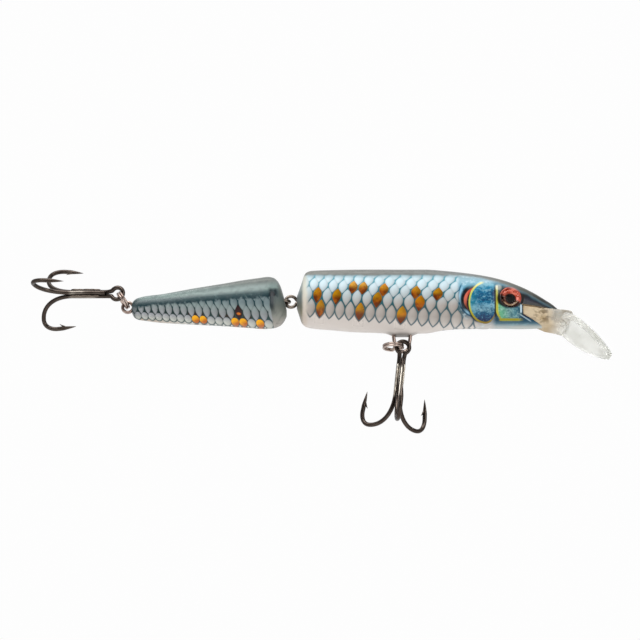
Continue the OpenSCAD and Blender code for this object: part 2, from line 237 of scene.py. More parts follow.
def front_paint():
    m = Mat("printed_front_body")
    gx, gy, x, y, z = paint_grid(m)
    wob = (m.noise(420, 2.0) - 0.5)
    c = (((gx - 317.5) * 0.272 + 90.25).max(0.0).sqrt() - 9.5) / 0.136
    yp = gy - (gx - 390) * 0.08 - 299.5
    yq = yp.min(6.0)
    v = yq * 0.0877 - yq * yq * 0.001104 + (yp - 6.0).max(0.0) * 0.066 + 3.0
    d, ident, du, dv = lens_field(m, c, v, lambda r: (r - 3) * 0.33 - (r - 3) * (r - 3) * 0.03 + 1.0, 0.17, 0.47,
                                  lambda r: 0.72 - (r - 3).max(0.0) * 0.10 + (3 - r).max(0.0) * 0.04, last=4)
    # base tones
    body = m.ramp(gy, [(272, "#93abb3"), (278, "#b4c8cf"), (285, "#b9c8ce"), (294, "#aab3b5"), (305, "#a09993"), (316, "#9e9791"), (326, "#bcb5af")])
    edge = m.ramp(gy, [(272, "#5694a3"), (281, "#4c8d9c"), (288, "#37707d"), (296, "#31606b"), (306, "#3a5458"), (320, "#4c6068")])
    # painted shade: each scale lighter on its left and top, darker towards its right side and its edge
    shade = du * -0.34 + 1.0 - m.smooth(d, 0.35, 1.0) * 0.16 + m.smooth(dv, 0.5, -0.5) * 0.06
    scale = m.scale_color(body, shade)
    isgold = listed(m, ident, [299 + 0, 301, 305, 309, 203, 204, 206, 209, 211, 399, 403, 407]).clamp()
    # painted shade: each gold scale darker towards its bottom and its right side
    gold = m.mix(m.smooth(dv + wob * 0.5, -0.28, 0.3), lin("#b98408"), lin("#6e3c0a"))
    gold = m.mix(m.smooth(du, -0.32, 0.38) * 0.55, gold, lin("#5c4206"))
    gold = m.mix(m.smooth(m.noise(310, 2.0), 0.52, 0.7) * 0.5, gold, lin("#c4720c"))
    scale = m.mix(isgold, scale, gold)
    # teal outlines: darkest in the gaps
    line = m.smooth(d + wob * 0.10, 0.82, 1.04)
    # under the last row only the outline itself is drawn, then plain belly
    under = m.smooth(v, 3.98, 4.12)
    line = line * (1 - under) + line * under * (1 - m.smooth(d, 1.10, 1.42))
    low_fade = 1 - m.smooth(v, 4.60, 4.85)
    rear_fade = m.smooth(gx + wob * 3, 305.0, 311.0)
    line = line * low_fade * rear_fade
    col = m.mix(line, scale, edge)
    # plain belly below the scales
    belly = m.mix(m.smooth(m.noise(60, 2.0), 0.35, 0.7) * 0.25, lin("#c6beb8"), lin("#b9b2ad"))
    keepgold = isgold * (1 - m.smooth(d, 0.9, 1.0))
    low = m.smooth(v, 4.02, 4.12) * m.smooth(d, 1.12, 1.45)
    low = low.max(m.smooth(v, 4.62, 4.8)).max(m.smooth(v, 4.2, 4.7) * (1 - m.smooth(d, 0.7, 0.85)) * 0.6)
    col = m.mix(low * (1 - keepgold), col, belly)
    # cream margin at the rear
    margin = m.ramp(gy, [(272, "#b9bcb2"), (285, "#d3d3c6"), (300, "#c9c1b4"), (318, "#c2b6ab")])
    col = m.mix((1 - m.smooth(gx + wob * 3, 304.5, 309.5)) * (1 - keepgold), col, margin)
    # painted shade: the joint cone at the very rear, darker grey where it turns away from the light
    cone = m.ramp(gy, [(284, "#8c9a98"), (295, "#66757a"), (303, "#646a66"), (312, "#74725f"), (320, "#8f897d")])
    col = m.mix((1 - m.smooth(x + wob * 0.5, -79.9, -79.0)) * 0.9, col, cone)

    # ---- head
    bold = m.smooth(gx, 456, 466)
    side = m.ramp(gy, [(278, "#7d9ba6"), (286, "#447489"), (296, "#244555"), (306, "#223a4a"), (316, "#263e4c"), (320.5, "#2e4a59"), (323.0, "#55707c"), (326, "#9da3a1"), (330, "#b7b7b2")])
    speck = m.noise(700, 2.0)
    side = m.mix(m.smooth(speck, 0.5, 0.72) * 0.35, side, lin("#7fa3ad"))
    nose = m.smooth(gx, 513, 524) * (1 - m.smooth(gy, 318, 324))
    side = m.mix(nose, side, m.ramp(gy, [(288, "#262a2b"), (294, "#1a2125"), (298, "#183038"), (302, "#142a34"), (307, "#11191f"), (316, "#173042"), (322, "#355568")]))
    # between scales and gill plate
    neck = m.ramp(gy, [(274, "#7f9ba6"), (280, "#8fb1be"), (285, "#6fa0b3"), (290, "#376f8a"), (300, "#35616f"), (312, "#4f6067"), (320, "#868c90"), (326, "#b5b1ad")])
    neck = m.mix(m.smooth(m.noise(800, 2.0), 0.5, 0.66) * 0.4, neck, lin("#c4dbe2"))
    arc = ((gx - 476) * (gx - 476) + (gy - 296) * (gy - 296) * 0.8).sqrt()
    neck = m.mix(m.band(arc, 15.6, 17.6, 0.6) * m.band(gy, 286, 316, 3), neck, lin("#86b2c9"))
    neck = m.mix(m.band(arc, 18.0, 19.0, 0.6) * m.band(gy, 284, 318, 3), neck, lin("#1f4e68"))
    headmask = m.smooth(gx - m.smooth(gy, 308, 322) * 8, 455.5, 460)
    col = m.mix(headmask * (1 - m.smooth(gy, 314, 322) * (1 - m.smooth(gx, 474, 482))), col, m.mix(m.smooth(gx, 490, 496), neck, side))

    # gill plate
    gxr = (gx - 485).max(0.0); gxl = (gx - 485).min(0.0)
    up = 1 - m.smooth(gy, 300, 303)
    wide = up * 30.0 + (1 - up) * 11.0
    g = ((gxl / 16.2) * (gxl / 16.2) + (gxr / wide) * (gxr / wide) + ((gy - 302) / 19.9) * ((gy - 302) / 19.9)).sqrt()
    cut = 1 - m.smooth(gx, 493.0, 494.2)
    inside = (1 - m.smooth(g, 0.955, 0.985)) * cut
    blot = m.noise(620, 3.0)
    plate = m.ramp(gy + (blot - 0.5) * 5, [(280, "#8fb3bf"), (284.5, "#7fb0c0"), (287.5, "#2e7fa0"), (291, "#0a6385"), (298, "#0e5676"), (302, "#2f6d8c"), (305, "#6a97aa"), (309, "#5c8496"), (312.5, "#245674"), (318, "#153d5c"), (323, "#122b3a")])
    plate = m.mix(m.smooth(gx, 483, 493) * m.band(gy, 288, 301, 2) * 0.6, plate, lin("#123f5c"))
    plate = m.mix(m.smooth(speck, 0.50, 0.66) * m.band(gy, 287, 312, 3) * 0.38, plate, lin("#9fc0c9"))
    plate = m.mix(m.smooth(speck, 0.50, 0.36) * 0.35, plate, lin("#0c3048"))
    grain = m.noise(2100, 2.0)
    plate = m.mix(m.smooth(grain, 0.52, 0.70) * 0.38, plate, lin("#7fa9b8"))
    plate = m.mix(m.smooth(grain, 0.48, 0.32) * 0.45, plate, lin("#08283e"))
    plate = m.mix((1 - m.smooth(gx, 470, 479)) * m.smooth(gy, 287, 291) * (1 - m.smooth(gy, 312, 318)) * 0.45, plate, lin("#3f8794"))
    shadow = (1 - m.smooth(g, 1.07, 1.24)) * cut * (m.smooth(gy, 283, 288)) * (1 - m.smooth(gx, 487, 493) * m.smooth(gy, 283, 290))
    shadow = shadow * (1 - m.smooth(gy, 319.5, 324))
    shadow = shadow.max((1 - m.smooth((gx - 494.2).abs(), 0.5, 2.0)) * m.band(gy, 287, 316, 3))
    col = m.mix(shadow, col, m.ramp(gy, [(284, "#3c2a22"), (296, "#1d1713"), (310, "#1b1f22"), (322, "#1a2a33")]))
    # red-orange crescent behind the plate
    rc = ((gx - 478.5) * (gx - 478.5) + (gy - 300.5) * (gy - 300.5)).sqrt()
    half = 1.75 - ((gy - 297.0) / 12.8) * ((gy - 297.0) / 12.8) * 1.75
    cres = (1 - m.smooth((rc - 13.9).abs() - half, -0.7, 0.4)) * (1 - m.smooth(gx, 472, 474)) * m.band(gy, 286.2, 309.5, 0.8)
    # painted shade: a dark band round the crescent, between it and the gill plate and along its outer side
    dark_l = (1 - m.smooth((rc - 15.4).abs(), 2.2, 5.2)) * (1 - m.smooth(gx, 471, 475)) * m.band(gy, 286, 310, 3)
    col = m.mix(dark_l * 0.92, col, lin("#241a17"))
    red = m.mix(m.smooth(gy, 295, 306), lin("#b2442b"), lin("#6e3a2c"))
    red = m.mix(m.smooth(gx + (gy - 296) * 0.2, 463, 468), m.mix(0.6, red, lin("#d98370")), red)
    col = m.mix(cres, col, red)
    col = m.mix(inside, col, plate)
    rim = m.band(g, 0.965, 1.065, 0.02) * cut * (1 - m.smooth(gx, 479.5, 485) * (1 - m.smooth(gy, 300, 303)))
    rimcol = m.ramp(gy, [(281, "#e3dfae"), (288, "#bdbb55"), (303, "#b1b85e"), (313, "#a39a2e"), (320, "#8d7a24"), (324, "#6e5322")])
    rimcol = m.mix(m.smooth(gx, 486, 493), rimcol, lin("#7a6848"))
    col = m.mix(rim, col, rimcol)

    # cheek plate
    lx = 495.2 + 0.0
    curve = ((gy - 309).max(0.0)) * ((gy - 309).max(0.0)) * 0.045 + lx
    inch = m.smooth(gx - curve, -0.4, 0.4) * (1 - m.smooth(gy, 320.2, 321.0)) * m.smooth(gy, 284, 287) * (1 - m.smooth(gx, 517, 523))
    cheek = m.ramp(gx + (gy - 308) * -0.2, [(496, "#79a860"), (499, "#63a37f"), (503, "#659a84"), (508, "#678a8c"), (513, "#5c8791"), (517, "#3c5f74"), (522, "#27404f")])
    cheek = m.mix(m.smooth(speck, 0.48, 0.66) * 0.35, cheek, lin("#9fc0b4"))
    cheek = m.mix(m.smooth(speck, 0.48, 0.34) * 0.4, cheek, lin("#2e5a62"))
    cheek = m.mix(m.smooth(blot, 0.52, 0.66) * 0.35, cheek, lin("#3d6470"))
    cheek = m.mix(m.smooth(grain, 0.52, 0.70) * 0.3, cheek, lin("#a9c4b8"))
    cheek = m.mix(m.smooth(grain, 0.48, 0.32) * 0.4, cheek, lin("#23464a"))
    cheek = m.mix(1 - m.smooth(gy, 300, 306), cheek, lin("#2b3b40"))
    col = m.mix(inch, col, cheek)
    vline = (1 - m.smooth((gx - curve - 1.0).abs(), 0.6, 1.5)) * m.band(gy, 285, 318, 1)
    hline = (1 - m.smooth((gy - 319.0).abs(), 0.8, 1.9)) * m.smooth(gx, 497.5, 500.0) * (1 - m.smooth(gx, 516, 524))
    vcol = m.ramp(gy, [(284, "#e8e6cf"), (290, "#a3a35a"), (300, "#a8a44a"), (312, "#b0a944"), (319, "#938a2a")])
    col = m.mix(vline, col, vcol)
    col = m.mix(hline, col, lin("#918a30"))
    pale = (1 - m.smooth(((gx - 498) / 3.6) * ((gx - 498) / 3.6) + ((gy - 286.6) / 3.4) * ((gy - 286.6) / 3.4), 0.0, 1.3))
    col = m.mix(pale * 0.4, col, lin("#dcdcd0"))
    # dark surround of the eye and the brow in red
    ex, ey = (gx - 509.6), (gy - 297.3)
    er = (ex * ex + ey * ey).sqrt()
    ew = ((ex / 13.6) * (ex / 13.6) + ((ey - 0.6) / 9.8) * ((ey - 0.6) / 9.8)).sqrt()
    col = m.mix((1 - m.smooth(ew, 0.86, 1.1)) * m.smooth(gy, 284, 288), col, lin("#0f0b09"))
    brow = (1 - m.smooth(er, 10.4, 11.2)) * (1 - m.smooth(ey - ex * 0.42, -0.6, 1.8))
    col = m.mix(brow, col, m.mix(m.smooth(speck, 0.44, 0.62), lin("#a33c2a"), lin("#de7b66")))
    # jaw: pale line below the lip's root, and a painted highlight on the rim at the mouth's corner
    jl = (gy - 315.0) - (gx - 521) * 0.62
    col = m.mix((1 - m.smooth(jl.abs(), 0.3, 1.0)) * m.band(gx, 519, 530, 1.5) * 0.75, col, lin("#9fb6c0"))
    col = m.mix((1 - m.smooth((gx - 520.2).abs(), 0.5, 1.3)) * m.band(gy, 304, 312, 1) * 0.85, col, lin("#b9ced8"))

    # ---- dark back
    lim = (gx - 452).max(0.0)
    b = lim * lim * 0.00326 + 275.0
    back = m.ramp(gx, [(296, "#74756f"), (400, "#6e706c"), (470, "#6f7473"), (505, "#63655f"), (525, "#474740"), (545, "#2b2b27"), (560, "#211f1c")])
    back = m.mix(m.smooth(m.noise(480, 3.0), 0.42, 0.65) * 0.35, back, lin("#5b5e5c"))
    bf = 1 - m.smooth(gy - b + wob * 2.4, -1.6, 1.2)
    col = m.mix((1 - m.smooth(gy - b + wob * 3, -1.0, 3.6)) * 0.5 * m.smooth(gx, 303, 308), col, lin("#7b919a"))
    col = m.mix(bf * m.smooth(gx, 300.5, 304.5), col, back)
    # painted shade round the hanger's recess on the belly
    hr = (((x + 48.9) / 4.6) * ((x + 48.9) / 4.6) + (y / 2.6) * (y / 2.6)).sqrt()
    col = m.mix((1 - m.smooth(hr, 0.55, 1.25)) * (1 - m.smooth(z, -5.2, -4.0)) * 0.75, col, lin("#57524d"))
    return painted_finish(m, col, isgold * (1 - line) * (1 - bf) * (1 - headmask))


def tail_paint():
    m = Mat("printed_tail_body")
    gx, gy, x, y, z = paint_grid(m)
    wob = (m.noise(420, 2.0) - 0.5)
    c = (((gx - 145) * 0.212 + 47.61).max(0.0).sqrt() - 6.9) / 0.106
    pitch = (gx - 145) * 0.012 + 8.5
    v = (gy - 319 - (gx - 203) * 0.068) / pitch + 3.0
    d, ident, du, dv = lens_field(m, c, v, lambda r: (r - 3) * -0.42, -0.16, 0.455, 0.80, rounded=3, last=3)
    body = m.ramp(gy + (gx - 203) * -0.05, [(300, "#6e7b7d"), (305, "#7f8b8a"), (311, "#85898a"), (316, "#94969a"), (321, "#aeb0a9")])
    edge = m.ramp(gy, [(300, "#2a3f44"), (312, "#2c3937"), (322, "#3c4f4f")])
    # painted shade: each scale lighter on its left side and darker towards its edge
    shade = du * -0.36 + 1.02 - m.smooth(d, 0.35, 1.0) * 0.18
    scale = m.scale_color(body, shade)
    bright = listed(m, ident, [307, 308, 312, 313, 315]).clamp()
    deep = ident.eq(212.0)
    # painted shade: the bright gold scales darker towards their bottom and right side
    gold = m.mix(m.smooth(dv + du * 0.5 + wob * 0.4, -0.35, 0.4), lin("#e6a50c"), lin("#a85e0a"))
    gold2 = m.mix(1 - m.smooth((du * du * 0.5 + (dv - 0.14) * (dv - 0.14) * 1.6).sqrt(), 0.08, 0.24), lin("#3a2409"), lin("#c4700c"))
    scale = m.mix(bright, scale, gold)
    scale = m.mix(deep, scale, gold2)
    line = m.smooth(d + wob * 0.10, 0.84, 1.05)
    below = m.smooth(v, 3.05, 3.2)
    line = line * (1 - below) + line * below * (1 - m.smooth(d, 1.30, 1.75))
    edge = m.mix(listed(m, ident, [206, 207, 210, 211, 213]).clamp() * m.smooth(dv, 0.1, 0.5) * 0.8, edge, lin("#3b2a17"))
    col = m.mix(line, scale, edge)
    under = m.smooth(v, 3.05, 3.2) * m.smooth(d, 1.3, 1.75)
    col = m.mix(under, col, m.ramp(gx, [(140, "#a39384"), (200, "#bdbdb8"), (270, "#c4bfb9")]))
    # front cap
    streak = m.noise(1.0, 2.0, vec=m.stretched(900, 900, 60))
    cap = m.ramp(gy, [(278, "#5d5f5b"), (290, "#5a605e"), (298, "#5c6462"), (306, "#676b66"), (315, "#84867f"), (324, "#98938c")])
    cap = m.mix(m.smooth(streak, 0.48, 0.7) * 0.35, cap, lin("#4a5150"))
    edge_x = (gy - 305).max(0.0) * -0.17 + gx + wob * 1.2
    col = m.mix(m.smooth(edge_x, 269.6, 271.0), col, cap)
    dark = m.smooth(edge_x, 269.4, 270.6) * (1 - m.smooth(edge_x, 272.0, 276.5))
    col = m.mix(dark * (1 - m.smooth(gy, 303, 318)) * 0.92, col, lin("#252c30"))
    # dark back, broad on the tail
    b = (268 - gx) * 0.078 + 296.2
    speck = (m.noise(900, 2.0) - 0.5) * 7 + wob * 3
    bf = 1 - m.smooth(gy - b + speck, -1.5, 1.8)
    # painted highlight: a lighter band along the dark back, a little above where it meets the scales
    back = m.ramp(gy - b, [(-28, "#666963"), (-16, "#6c716d"), (-11, "#7b8986"), (-8.5, "#7d8d89"), (-5, "#485759"), (-1, "#334145"), (3, "#334145")])
    back = m.mix(m.smooth(m.noise(600, 3.0), 0.42, 0.65) * 0.3, back, lin("#50585a"))
    back = m.mix(m.smooth(gx, 267, 271) * (1 - m.smooth(gx, 275, 279)) * m.band(gy, 288, 303, 2) * 0.9, back, lin("#262b2e"))
    back = m.mix(m.smooth(speck * 0.1, 0.0, 0.35) * m.band(gy - b, -8, 3, 2) * 0.4, back, lin("#7c918f"))
    col = m.mix(bf * (1 - m.smooth(gx, 276, 283)), col, back)
    col = m.mix(bf * m.smooth(gx, 276, 283), col, lin("#626762"))
    # dark tip
    col = m.mix((1 - m.smooth(gx + (gy - 308) * 0.2, 134, 140)) * 0.6, col, lin("#3f4a4c"))
    return painted_finish(m, col, (bright + deep * 0.5) * (1 - line) * (1 - bf))


def wire_metal(name, a, b, rough, tint=None, smear=None):
    m = Mat(name)
    n1 = m.noise(240, 3.0)
    col = m.mix(m.smooth(n1, 0.35, 0.7), lin(a), lin(b))
    if tint:
        col = m.mix(m.smooth(m.noise(90, 2.0), 0.5, 0.75) * 0.5, col, lin(tint))
    if smear is not None:
        x, y, z = m.pos()
        streak = m.smooth(m.noise(1.0, 3.0, vec=m.stretched(*smear[0])), 0.40, 0.56)
        col = m.mix(streak * smear[1](m, x, y, z), col, lin("#c6beb2"))
    m.set(color=col, rough=m.noise(300, 2.0) * 0.08 + (rough - 0.04), metal=1.0)
    return m.mat


def clear_lip_mat():
    m = Mat("clear_lip_plastic")
    x, y, z = m.pos()
    # milky, sand-coloured root with brown streaks, turning clear towards the blade
    cloud = m.noise(1.0, 3.0, vec=m.stretched(170, 60, 330))
    f = 1 - m.smooth(x + z * 0.35 + (cloud - 0.5) * 4, -5.8, 0.2)
    tan = m.mix(m.smooth(cloud, 0.36, 0.66), lin("#d3c1a4"), lin("#b39c78"))
    marks = m.smooth(m.noise(1.0, 4.0, 0.6, vec=m.stretched(420, 120, 520)), 0.46, 0.58) * m.band(x, -8.5, 3.8, 1.8) * m.smooth(z, -4.4, -1.6)
    tan = m.mix(marks * 0.72, tan, lin("#5d4c34"))
    blade = m.mix(m.smooth(m.noise(140, 2.0), 0.4, 0.62), lin("#f3f3ef"), lin("#dcdcd5"))
    # painted shade: the blade turns greyer towards its tip
    blade = m.mix(m.smooth(x, 9.5, 15.0) * 0.5, blade, lin("#cfd0ca"))
    m.set(color=m.mix(f.max(marks * 0.6), blade, tan), trans=0.72 - f.max(marks * 0.7) * 0.48, ior=1.12)
    m.set(rough=f * 0.14 + m.noise(300, 2.0) * 0.04 + 0.20)
    return m.mat


def dome_mat():
    m = Mat("clear_eye_dome")
    m.set(color=m.mix(m.smooth(m.noise(500), 0.4, 0.6) * 0.1, lin("#ffffff"), lin("#f3f1ea")), trans=1.0, ior=1.2,
          rough=m.noise(400) * 0.01 + 0.05)
    return m.mat


def eye_mat():
    m = Mat("printed_eye")
    x, y, z = m.pos()
    dx, dz = x + 15.8, z - 4.4
    r = (dx * dx + dz * dz).sqrt()
    speck = m.noise(1600, 3.0)
    lobe = dz + dx * 0.42 + (speck - 0.5) * 0.5
    red = m.mix(m.smooth(speck, 0.44, 0.62), lin("#a33a28"), lin("#df7a64"))
    brown = m.mix(m.smooth(speck, 0.42, 0.62), lin("#1c0d08"), lin("#3f1e12"))
    iris = m.mix(m.smooth(lobe, -0.2, 0.5), brown, red)
    tan = m.band(r, 1.95, 2.35, 0.12) * (1 - m.smooth(dz, -1.4, -0.9))
    iris = m.mix(tan * 0.8, iris, lin("#a98a6a"))
    low = (dx * dx + (dz + 0.22) * (dz + 0.22)).sqrt()
    col = m.mix(1 - m.smooth(low, 1.62, 1.86), iris, lin("#2b120a"))
    # painted highlight: reddish-brown on the left of the ring round the pupil
    col = m.mix(m.smooth(r, 1.2, 1.9) * (1 - m.smooth(dx, -0.9, -0.4)) * (1 - m.smooth(r, 1.9, 2.0)) * 0.8, col, lin("#6b3420"))
    px, pz = ((dx - 0.05) / 1.6), ((dz + 0.16) / 1.46)
    col = m.mix(1 - m.smooth((px * px + pz * pz).sqrt(), 0.86, 1.0), col, lin("#050403"))
    m.set(color=col, rough=m.noise(500) * 0.1 + 0.55, spec=0.05)
    return m.mat


def mouth_mat():
    m = Mat("mouth_recess")
    n = m.noise(260, 3.0)
    m.set(color=m.mix(m.smooth(n, 0.35, 0.65), lin("#c3ad8a"), lin("#a9926e")), rough=n * 0.2 + 0.4)
    return m.mat


def inner_mat(name, a, b, rough, metal):
    m = Mat(name)
    n = m.noise(160, 4.0)
    m.set(color=m.mix(m.smooth(n, 0.35, 0.65), lin(a), lin(b)), rough=n * 0.15 + rough, metal=metal)
    m.bump(n, 0.2, 0.0003)
    return m.mat


# ------------------------------------------------------------------ mesh helpers (millimetres in, metres out)
def pchip(xs, ys, q):
    x, y = np.asarray(xs, float), np.asarray(ys, float)
    if x[0] > x[-1]:
        x, y = x[::-1], y[::-1]
    h, d = np.diff(x), np.diff(y) / np.diff(x)
    m = np.zeros_like(x)
    m[0], m[-1] = d[0], d[-1]
    for i in range(1, len(x) - 1):
        if d[i - 1] * d[i] > 0:
            w1, w2 = 2 * h[i] + h[i - 1], h[i] + 2 * h[i - 1]
            m[i] = (w1 + w2) / (w1 / d[i - 1] + w2 / d[i])
    q = np.clip(np.asarray(q, float), x[0], x[-1])
    k = np.clip(np.searchsorted(x, q) - 1, 0, len(x) - 2)
    t = (q - x[k]) / h[k]
    return ((2 * t**3 - 3 * t**2 + 1) * y[k] + (t**3 - 2 * t**2 + t) * h[k] * m[k]
            + (-2 * t**3 + 3 * t**2) * y[k + 1] + (t**3 - t**2) * h[k] * m[k + 1])


def make(name, verts, faces, mat, angle=40, mats=None, fix=True):
    me = bpy.data.meshes.new(name)
    me.from_pydata([tuple(float(c) * MM for c in v) for v in verts], [], [tuple(int(i) for i in f) for f in faces])
    me.validate()
    ob = bpy.data.objects.new(name, me)
    bpy.context.scene.collection.objects.link(ob)
    if mat is not None:
        me.materials.append(mat)
    tidy(ob, angle, fix)
    return ob


def tidy(ob, angle=40, fix=True):
    me = ob.data
    if fix:
        bm = bmesh.new(); bm.from_mesh(me)
        bmesh.ops.remove_doubles(bm, verts=bm.verts, dist=2e-6)
        bmesh.ops.dissolve_degenerate(bm, edges=bm.edges, dist=1e-6)
        bmesh.ops.recalc_face_normals(bm, faces=bm.faces)
        bm.to_mesh(me); bm.free()
    me.shade_smooth()
    me.set_sharp_from_angle(angle=math.radians(angle))
    return ob


def boolean(ob, tool, op="DIFFERENCE", keep=False):
    md = ob.modifiers.new("b", "BOOLEAN")
    md.operation, md.object, md.solver = op, tool, "EXACT"
    md.material_mode = "TRANSFER"
    dg = bpy.context.evaluated_depsgraph_get()
    me = bpy.data.meshes.new_from_object(ob.evaluated_get(dg), preserve_all_data_layers=True, depsgraph=dg)
    ob.modifiers.clear()
    old = ob.data
    ob.data = me
    bpy.data.meshes.remove(old)
    if not keep:
        bpy.data.objects.remove(tool)
    return ob


def mirrored(ob, name):
    me = ob.data.copy()
    me.transform(Matrix.Scale(-1, 4, (0, 1, 0)))
    me.flip_normals()
    o = bpy.data.objects.new(name, me)
    bpy.context.scene.collection.objects.link(o)
    return o


def place(ob, body, slot, *nodes):
    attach(ob, body)
    if nodes:
        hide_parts(*nodes)
    return ob


def prism(name, poly, y0, y1, mat=None):
    n = len(poly)
    v = [(x, y0, z) for x, z in poly] + [(x, y1, z) for x, z in poly]
    f = [tuple(range(n)), tuple(range(2 * n - 1, n - 1, -1))]
    f += [(i, (i + 1) % n, (i + 1) % n + n, i + n) for i in range(n)]
    return make(name, v, f, mat)


def rod(name, a, b, r, mat=None, n=28):
    return sweep(name, np.array([a, b], float), np.array([r, r], float), mat, n, caps="flat")


def frames(p, closed=False):
    t = np.gradient(p, axis=0)
    if closed:
        t = np.roll(p, -1, 0) - np.roll(p, 1, 0)
    t /= np.linalg.norm(t, axis=1)[:, None]
    u = np.cross(t[0], [0, 0, 1.0])
    if np.linalg.norm(u) < 1e-3:
        u = np.cross(t[0], [0, 1.0, 0])
    u /= np.linalg.norm(u)
    us = [u]
    for i in range(1, len(p)):
        u = us[-1] - t[i] * np.dot(us[-1], t[i])
        us.append(u / np.linalg.norm(u))
    us = np.array(us)
    return t, us, np.cross(t, us)


def sweep_data(p, r, n=16, closed=False, caps="round"):
    p, r = np.asarray(p, float), np.asarray(r, float)
    if caps == "round" and not closed:
        t0, t1 = p[0] - p[1], p[-1] - p[-2]
        t0, t1 = t0 / np.linalg.norm(t0), t1 / np.linalg.norm(t1)
        k = [0.98, 0.86, 0.62, 0.3]
        add0 = [(p[0] + t0 * r[0] * (0.55 * math.sqrt(1 - q * q)), r[0] * q) for q in k]
        add1 = [(p[-1] + t1 * r[-1] * (0.55 * math.sqrt(1 - q * q)), r[-1] * q) for q in k]
        p = np.array([a for a, _ in reversed(add0)] + list(p) + [a for a, _ in add1])
        r = np.array([a for _, a in reversed(add0)] + list(r) + [a for _, a in add1])
    t, u, w = frames(p, closed)
    a = np.arange(n) * 2 * math.pi / n
    v = (p[:, None] + r[:, None, None] * (u[:, None] * np.cos(a)[None, :, None] + w[:, None] * np.sin(a)[None, :, None])).reshape(-1, 3)
    m = len(p)
    f = []
    for i in range(m if closed else m - 1):
        j = (i + 1) % m
        for k in range(n):
            l = (k + 1) % n
            f.append((i * n + k, i * n + l, j * n + l, j * n + k))
    if not closed:
        f.append(tuple(range(n - 1, -1, -1)))
        f.append(tuple((m - 1) * n + k for k in range(n)))
    return v, f


def sweep(name, p, r, mat, n=16, closed=False, caps="round", angle=50):
    v, f = sweep_data(p, r, n, closed, caps)
    return make(name, v, f, mat, angle)


def several(name, parts, mat, angle=50):
    v, f, o = [], [], 0
    for pv, pf in parts:
        v.extend(map(tuple, pv))
        f.extend([tuple(i + o for i in q) for q in pf])
        o += len(pv)
    return make(name, v, f, mat, angle)


def catmull(pts, per=6):
    p = np.asarray(pts, float)
    q = np.vstack([2 * p[0] - p[1], p, 2 * p[-1] - p[-2]])
    out = []
    for i in range(1, len(q) - 2):
        for k in range(per):
            t = k / per
            out.append(0.5 * ((2 * q[i]) + (-q[i - 1] + q[i + 1]) * t + (2 * q[i - 1] - 5 * q[i] + 4 * q[i + 1] - q[i + 2]) * t * t
                              + (-q[i - 1] + 3 * q[i] - 3 * q[i + 1] + q[i + 2]) * t**3))
    out.append(p[-1])
    return np.array(out)


def bez(a, b, c, d, n):
    t = np.linspace(0, 1, n, endpoint=False)[:, None]
    a, b, c, d = (np.array(q, float) for q in (a, b, c, d))
    return a * (1 - t)**3 + 3 * b * t * (1 - t)**2 + 3 * c * t * t * (1 - t) + d * t**3


# ------------------------------------------------------------------ body shells
FT = [[-81.2,6.4],[-80.4,8.6],[-79.6,11.0],[-79.0,13.0],[-78.2,14.0],[-76.5,14.5],[-71,14.7],[-60,14.9],[-42,14.9],[-34,14.3],[-28,13.6],[-22,12.6],[-17,11.3],[-14,10.2],[-11,8.9],[-8,7.3],[-5,5.4],[-2.5,3.7],[-1,2.4]]
FB = [[-81.2,2.8],[-80.4,0.4],[-79.8,-1.4],[-79.0,-2.4],[-78.2,-2.9],[-76.5,-3.3],[-71,-3.8],[-63,-4.5],[-54,-4.9],[-52.2,-5.6],[-51,-6.1],[-46.6,-6.1],[-45.4,-5.6],[-43.6,-4.9],[-42,-4.9],[-36,-3.9],[-31,-3.5],[-19,-3.4],[-12,-3.6],[-6,-3.4],[-1,-1.4]]
FW = [[-81.2,.27],[-80.4,.52],[-79.8,.7],[-79,.82],[-78.2,.89],[-76.5,.95],[-70,1],[-45,1],[-34,.97],[-25,.92],[-18,.83],[-14,.75],[-10,.65],[-6,.54],[-3,.43],[-1,.3]]
TT = [[-131.9,4.3],[-131.3,5.2],[-130,6.0],[-127.5,6.6],[-122.6,7.2],[-117.7,8.1],[-112.8,9.0],[-107.9,9.8],[-103,10.6],[-98,11.5],[-93,12.2],[-90,12.6],[-88.6,12.4],[-87.2,11.4],[-86.2,9.6],[-85.5,7.4],[-84.9,5.2],[-84.3,2.6]]
TB = [[-131.9,1.3],[-131.3,.1],[-130,-.7],[-127.5,-1.1],[-122.6,-1.7],[-112.8,-2.2],[-103,-2.7],[-95.6,-3.2],[-90.7,-3.5],[-88.2,-3.3],[-86.3,-2.6],[-85.2,-1.5],[-84.3,.2]]
TW = [[-131.9,.26],[-131.3,.36],[-130,.43],[-127,.48],[-118,.62],[-108,.78],[-98,.92],[-92,1],[-89.6,.98],[-88.2,.91],[-87,.8],[-86,.66],[-85.2,.48],[-84.3,.18]]
POWER = 2 / 2.3
WALL = 1.4


def ss(v, lo, hi):
    t = np.clip((np.asarray(v, float) - lo) / (hi - lo), 0, 1)
    return t * t * (3 - 2 * t)


def front_relief(x, y, z):
    """raised gill plate, cheek line and eye rim, in mm outwards"""
    gx, gy = x / PXS + 561.0, 316.5 - (z * CE + np.abs(y) * SE) / PXS
    up = 1 - ss(gy, 300, 303)
    wide = up * 30 + (1 - up) * 11
    g = np.sqrt((np.minimum(gx - 485, 0) / 16.2)**2 + (np.maximum(gx - 485, 0) / wide)**2 + ((gy - 302) / 19.9)**2)
    plate = (1 - ss(g, 1.0, 1.13)) * (1 - ss(gx, 491.5, 495.5)) * 0.26
    dish = (1 - ss(g, 0.3, 0.93)) * (1 - ss(gx, 488, 493)) * 0.16
    groove = ss(g, 1.04, 1.14) * (1 - ss(g, 1.14, 1.30)) * (1 - ss(gx, 489, 493)) * 0.14
    cheek = ss(gx, 494.8, 497.5) * (1 - ss(gy, 319.5, 322.0)) * (1 - ss(gx, 512, 524)) * ss(gy, 284, 290) * 0.20
    rd = np.hypot(x + 15.8, z - 4.4)
    rim = ss(rd, 2.7, 3.2) * (1 - ss(rd, 3.3, 4.3)) * 0.22
    return plate - dish - groove + cheek + rim


def tail_relief(x, y, z):
    return np.zeros_like(x)


